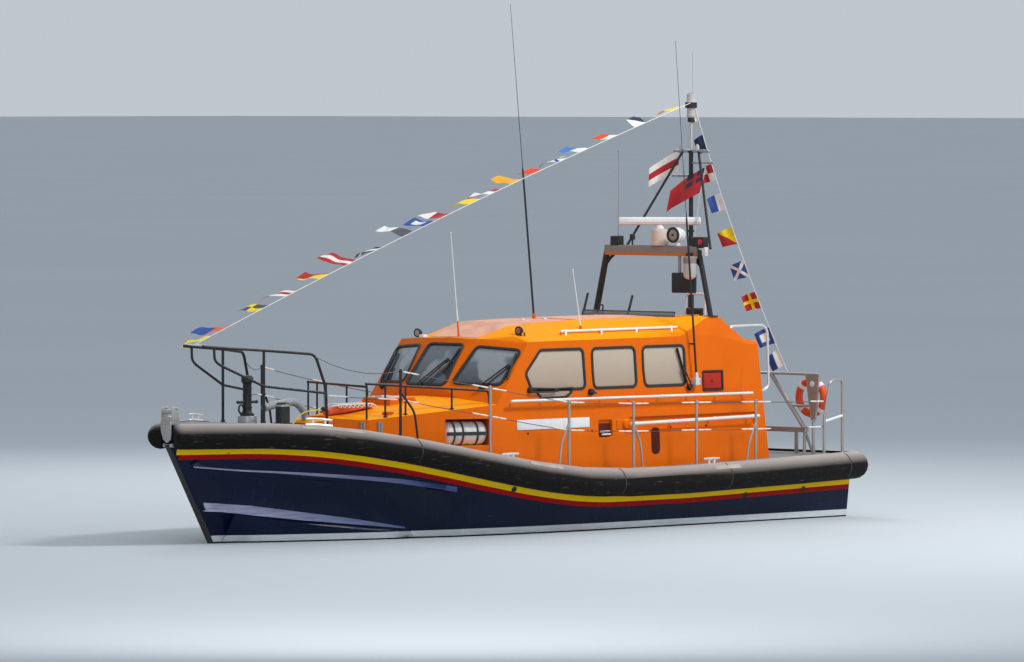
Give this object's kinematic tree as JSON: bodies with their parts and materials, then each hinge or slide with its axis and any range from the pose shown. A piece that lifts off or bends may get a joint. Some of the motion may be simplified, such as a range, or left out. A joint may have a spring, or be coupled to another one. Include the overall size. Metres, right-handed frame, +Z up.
{
  "type": "lifeboat",
  "caption": "All-weather rescue lifeboat with foam fender, enclosed wheelhouse, open upper helm, raked mast, bow pulpit and twin steerable water jets.",
  "frame": {"origin": "amidships on the centreline, at the still waterline", "axes": "+X forward to the bow, +Y to port, +Z up"},
  "size_m": [13.2787, 4.504, 8.7208],
  "materials": {
    "navy": "gloss",
    "orange": "gloss",
    "rubber": "matte",
    "steel": "polished",
    "blackTube": "satin",
    "deckGrey": "textured non-slip",
    "white": "gloss",
    "glass": "tinted",
    "black": "matte",
    "alloy": "satin",
    "engineGrey": "painted",
    "lifebuoy": "matte",
    "cloth": "woven"
  },
  "bodies": {
    "boat": {"hull": "navy", "bilge_keel_port": "navy", "bilge_keel_starboard": "navy", "fender": "rubber", "stem_head": "steel", "wheelhouse_walls": "orange", "wheelhouse_roof": "orange", "bridge_tub": "orange", "bridge_screen": "black", "bridge_seat": "black", "side_glass_port_1": "glass", "side_glass_port_2": "glass", "side_glass_port_3": "glass", "side_glass_starboard_1": "glass", "side_glass_starboard_2": "glass", "side_glass_starboard_3": "glass", "front_glass_centre": "glass", "front_glass_port": "glass", "front_glass_starboard": "glass", "coachroof": "orange", "liferaft_port": "white", "liferaft_starboard": "white", "gear_roll": "lifebuoy", "cabin_sole": "deckGrey", "helm_console": "black", "crew_seats": "black", "engines": "engineGrey", "aft_ladder": "steel", "aft_grab_rail_port": "steel", "aft_grab_rail_starboard": "steel", "targa_frame": "blackTube", "radar_pedestal": "white", "mast": "blackTube", "whip_aerial_roof": "blackTube", "whip_aerial_side": "blackTube", "pulpit_port": "blackTube", "pulpit_starboard": "blackTube", "coachroof_rail_port": "blackTube", "coachroof_rail_starboard": "blackTube", "guardrail_port": "steel", "guardrail_starboard": "steel", "pushpit_port": "steel", "pushpit_starboard": "steel", "stern_arch": "steel", "lifebuoy": "lifebuoy", "towing_bollard": "black", "capstan_base": "alloy", "foredeck_vent": "alloy", "jet_housings": "alloy", "dressing_line_fore": "cloth", "dressing_line_aft": "cloth"},
    "radar_scanner": {"radar_scanner": "white"},
    "searchlight": {"searchlight": "white"},
    "capstan_drum": {"capstan_drum": "black"},
    "coachroof_hatch": {"coachroof_hatch": "white"},
    "aft_door": {"aft_door": "orange"},
    "steering_nozzle_port": {"steering_nozzle_port": "alloy"},
    "steering_nozzle_starboard": {"steering_nozzle_starboard": "alloy"},
    "reversing_bucket_port": {"reversing_bucket_port": "alloy"},
    "reversing_bucket_starboard": {"reversing_bucket_starboard": "alloy"}
  },
  "joints": [
    {"name": "radar_spin", "type": "hinge", "parent": "boat", "child": "radar_scanner", "pos_m": [-4.03, 0.14, 4.6], "axis": [0, 0, 1], "continuous": true},
    {"name": "searchlight_pan", "type": "hinge", "parent": "boat", "child": "searchlight", "pos_m": [-4.03, 0.505, 4.356], "axis": [0, 0, 1], "range_deg": [-170, 170]},
    {"name": "capstan_spin", "type": "hinge", "parent": "boat", "child": "capstan_drum", "pos_m": [4.7, -0.09, 2], "axis": [0, 0, 1], "continuous": true},
    {"name": "hatch_hinge", "type": "hinge", "parent": "boat", "child": "coachroof_hatch", "pos_m": [1.53, 0, 1.9993], "axis": [0, -1, 0], "range_deg": [0, 95]},
    {"name": "door_hinge", "type": "hinge", "parent": "boat", "child": "aft_door", "pos_m": [-5.1058, 0.386, 1.7979], "axis": [-0.1045, 0, -0.9945], "range_deg": [0, 100]},
    {"name": "port_nozzle_steer", "type": "hinge", "parent": "boat", "child": "steering_nozzle_port", "pos_m": [-5.8703, 0.7, -0.06], "axis": [0, 0, 1], "range_deg": [-25, 25]},
    {"name": "starboard_nozzle_steer", "type": "hinge", "parent": "boat", "child": "steering_nozzle_starboard", "pos_m": [-5.8703, -0.7, -0.06], "axis": [0, 0, 1], "range_deg": [-25, 25]},
    {"name": "port_bucket_hinge", "type": "hinge", "parent": "boat", "child": "reversing_bucket_port", "pos_m": [-5.9703, 0.7, 0.05], "axis": [0, -1, 0], "range_deg": [0, 40]},
    {"name": "starboard_bucket_hinge", "type": "hinge", "parent": "boat", "child": "reversing_bucket_starboard", "pos_m": [-5.9703, -0.7, 0.05], "axis": [0, -1, 0], "range_deg": [0, 40]}
  ],
  "couplings": [
    {"joint": "starboard_nozzle_steer", "follows": "port_nozzle_steer", "ratio": 1}
  ]
}
